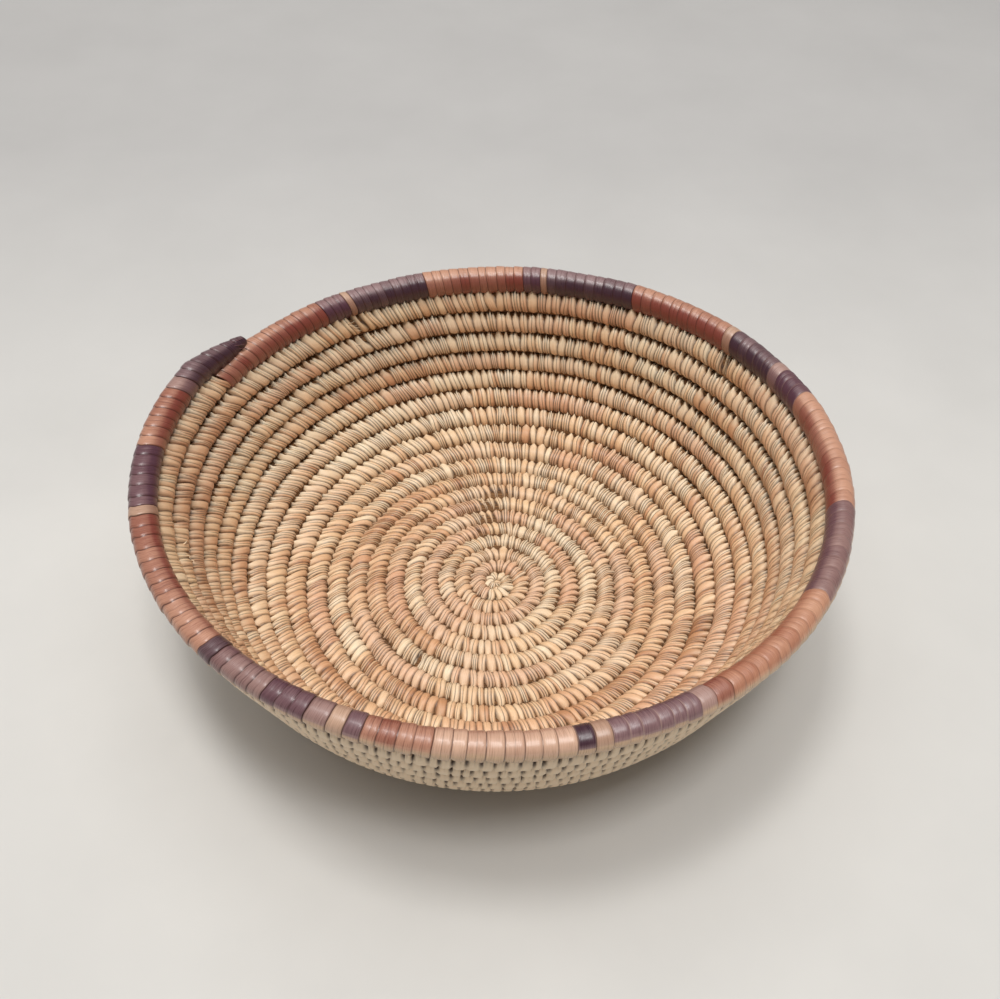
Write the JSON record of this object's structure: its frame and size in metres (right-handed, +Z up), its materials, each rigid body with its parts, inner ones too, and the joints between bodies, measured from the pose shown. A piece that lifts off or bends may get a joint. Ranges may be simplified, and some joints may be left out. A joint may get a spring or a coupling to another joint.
{
  "type": "coiled basket",
  "caption": "Shallow round bowl of one wrapped grass coil wound clockwise from a centre knot, with a thick rim turn bound in dyed palm-leaf strips.",
  "frame": {"origin": "middle of the coil's start on the flat underside, where the start knot rests on the ground", "axes": "+Z up out of the bowl's mouth, +X to the right and +Y away in the reference view; the rim's joint lies back left"},
  "size_m": [0.3401, 0.3142, 0.1182],
  "materials": {
    "grass_bundle": "dry grass stalks, matt",
    "natural_strip": "undyed palm leaf, satin",
    "dyed_brick": "palm leaf dyed brick, low gloss, worn paler outside",
    "dyed_brown": "palm leaf dyed brown, low gloss, worn paler outside",
    "dyed_blush": "palm leaf dyed blush, low gloss, worn paler outside",
    "dyed_tan": "palm leaf dyed tan, low gloss, worn paler outside",
    "dyed_mauve": "palm leaf dyed mauve, low gloss, worn paler outside",
    "dyed_purple": "palm leaf dyed purple, low gloss, worn paler outside",
    "dyed_plum": "palm leaf dyed plum, low gloss, worn paler outside"
  },
  "bodies": {
    "root": {"coil_bundle": "grass_bundle", "coil_wrap_01": "natural_strip", "coil_wrap_02": "natural_strip", "coil_wrap_03": "natural_strip", "coil_wrap_04": "natural_strip", "coil_wrap_05": "natural_strip", "coil_wrap_06": "natural_strip", "coil_wrap_07": "natural_strip", "coil_wrap_08": "natural_strip", "coil_wrap_09": "natural_strip", "coil_wrap_10": "natural_strip", "coil_wrap_11": "natural_strip", "coil_wrap_12": "natural_strip", "coil_wrap_13": "natural_strip", "coil_wrap_14": "natural_strip", "coil_wrap_15": "natural_strip", "coil_wrap_16": "natural_strip", "coil_wrap_17": "natural_strip", "coil_wrap_18": "natural_strip", "rim_bundle": "grass_bundle", "rim_wrap_01_brick": "dyed_brick", "rim_wrap_02_purple": "dyed_purple", "rim_wrap_03_tan": "dyed_tan", "rim_wrap_04_plum": "dyed_plum", "rim_wrap_05_brick": "dyed_brick", "rim_wrap_06_purple": "dyed_purple", "rim_wrap_07_tan": "dyed_tan", "rim_wrap_08_plum": "dyed_plum", "rim_wrap_09_brick": "dyed_brick", "rim_wrap_10_tan": "dyed_tan", "rim_wrap_11_plum": "dyed_plum", "rim_wrap_12_mauve": "dyed_mauve", "rim_wrap_13_purple": "dyed_purple", "rim_wrap_14_brick": "dyed_brick", "rim_wrap_15_mauve": "dyed_mauve", "rim_wrap_16_brown": "dyed_brown", "rim_wrap_17_brick": "dyed_brick", "rim_wrap_18_mauve": "dyed_mauve", "rim_wrap_19_purple": "dyed_purple", "rim_wrap_20_tan": "dyed_tan", "rim_wrap_21_plum": "dyed_plum", "rim_wrap_22_blush": "dyed_blush", "rim_wrap_23_brick": "dyed_brick", "rim_wrap_24_purple": "dyed_purple", "rim_wrap_25_tan": "dyed_tan", "rim_wrap_26_mauve": "dyed_mauve", "rim_wrap_27_purple": "dyed_purple", "rim_wrap_28_mauve": "dyed_mauve", "rim_wrap_29_plum": "dyed_plum", "rim_wrap_30_brick": "dyed_brick", "rim_wrap_31_tan": "dyed_tan", "rim_wrap_32_purple": "dyed_purple", "rim_wrap_33_brick": "dyed_brick", "rim_wrap_34_mauve": "dyed_mauve", "rim_wrap_35_plum": "dyed_plum", "start_knot": "natural_strip"}
  },
  "joints": []
}
